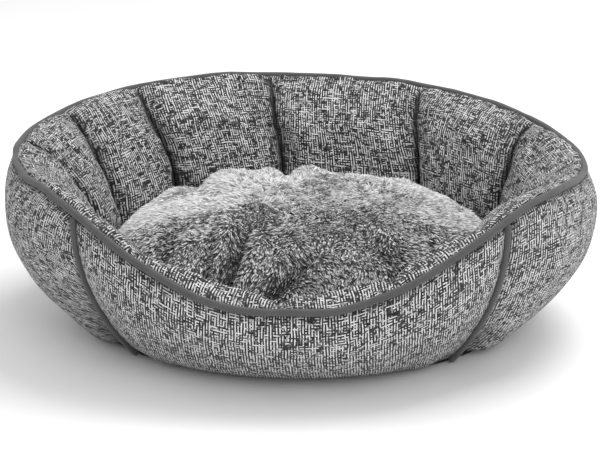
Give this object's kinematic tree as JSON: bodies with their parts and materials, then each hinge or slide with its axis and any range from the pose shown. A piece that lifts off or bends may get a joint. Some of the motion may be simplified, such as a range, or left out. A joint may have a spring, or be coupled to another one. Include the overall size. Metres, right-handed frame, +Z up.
{
  "type": "pet cushion bed",
  "caption": "Oval pet bed: a padded linen-look wall sewn in puffy pockets with a low front and piped rim, around a loose plush cushion.",
  "frame": {"origin": "on the floor, under the middle of the bed's box", "axes": "+Z up; -Y towards the low front entrance; +X to the right of someone who faces the low front, along the bed's longest side"},
  "size_m": [0.6164, 0.5195, 0.2196],
  "materials": {
    "inner_linen": "heathered linen-look plain weave, mid grey with dark and pale yarns, matte",
    "outer_linen": "heathered linen-look plain weave, mid grey with dark and pale yarns, matte",
    "lining_cloth": "the same linen-look cloth laid flat, matte",
    "piping_cloth": "plain tight-woven dark grey bias cloth, slight sheen",
    "piping_cord": "undyed cotton filler cord, matte",
    "fibre_fill": "loose white polyester fibre",
    "cushion_fibre": "loose white polyester fibre",
    "plush": "short faux-fur pile in clumps, light grey, soft sheen on the tips",
    "cushion_backing": "smooth brushed grey cloth, matte",
    "non_slip_cloth": "black non-woven cloth with small rubber dots, matte",
    "base_foam": "thin off-white foam and fibre pad"
  },
  "bodies": {
    "bed": {"inner_panel_01": "inner_linen", "inner_panel_02": "inner_linen", "inner_panel_03": "inner_linen", "inner_panel_04": "inner_linen", "inner_panel_05": "inner_linen", "inner_panel_06": "inner_linen", "inner_panel_07": "inner_linen", "inner_panel_08": "inner_linen", "inner_panel_09": "inner_linen", "inner_panel_10": "inner_linen", "inner_panel_11": "inner_linen", "inner_panel_12": "inner_linen", "wall_fill_01": "fibre_fill", "wall_fill_02": "fibre_fill", "wall_fill_03": "fibre_fill", "wall_fill_04": "fibre_fill", "wall_fill_05": "fibre_fill", "wall_fill_06": "fibre_fill", "wall_fill_07": "fibre_fill", "wall_fill_08": "fibre_fill", "wall_fill_09": "fibre_fill", "wall_fill_10": "fibre_fill", "wall_fill_11": "fibre_fill", "wall_fill_12": "fibre_fill", "outer_front_panel": "outer_linen", "outer_left_panel": "outer_linen", "outer_right_panel": "outer_linen", "rim_piping_back_sleeve": "piping_cloth", "rim_piping_back_cord": "piping_cord", "rim_piping_front_sleeve": "piping_cloth", "rim_piping_front_cord": "piping_cord", "seam_piping_left_sleeve": "piping_cloth", "seam_piping_left_cord": "piping_cord", "seam_piping_right_sleeve": "piping_cloth", "seam_piping_right_cord": "piping_cord", "base_cloth": "non_slip_cloth", "base_pad": "base_foam", "floor_lining": "lining_cloth"},
    "cushion": {"cushion_top_cover": "plush", "cushion_bottom_cover": "cushion_backing", "cushion_fill": "cushion_fibre"}
  },
  "joints": [
    {"name": "cushion_lift", "type": "slide", "parent": "bed", "child": "cushion", "axis": [0, 0, 1], "range_m": [0, 0.25]}
  ]
}
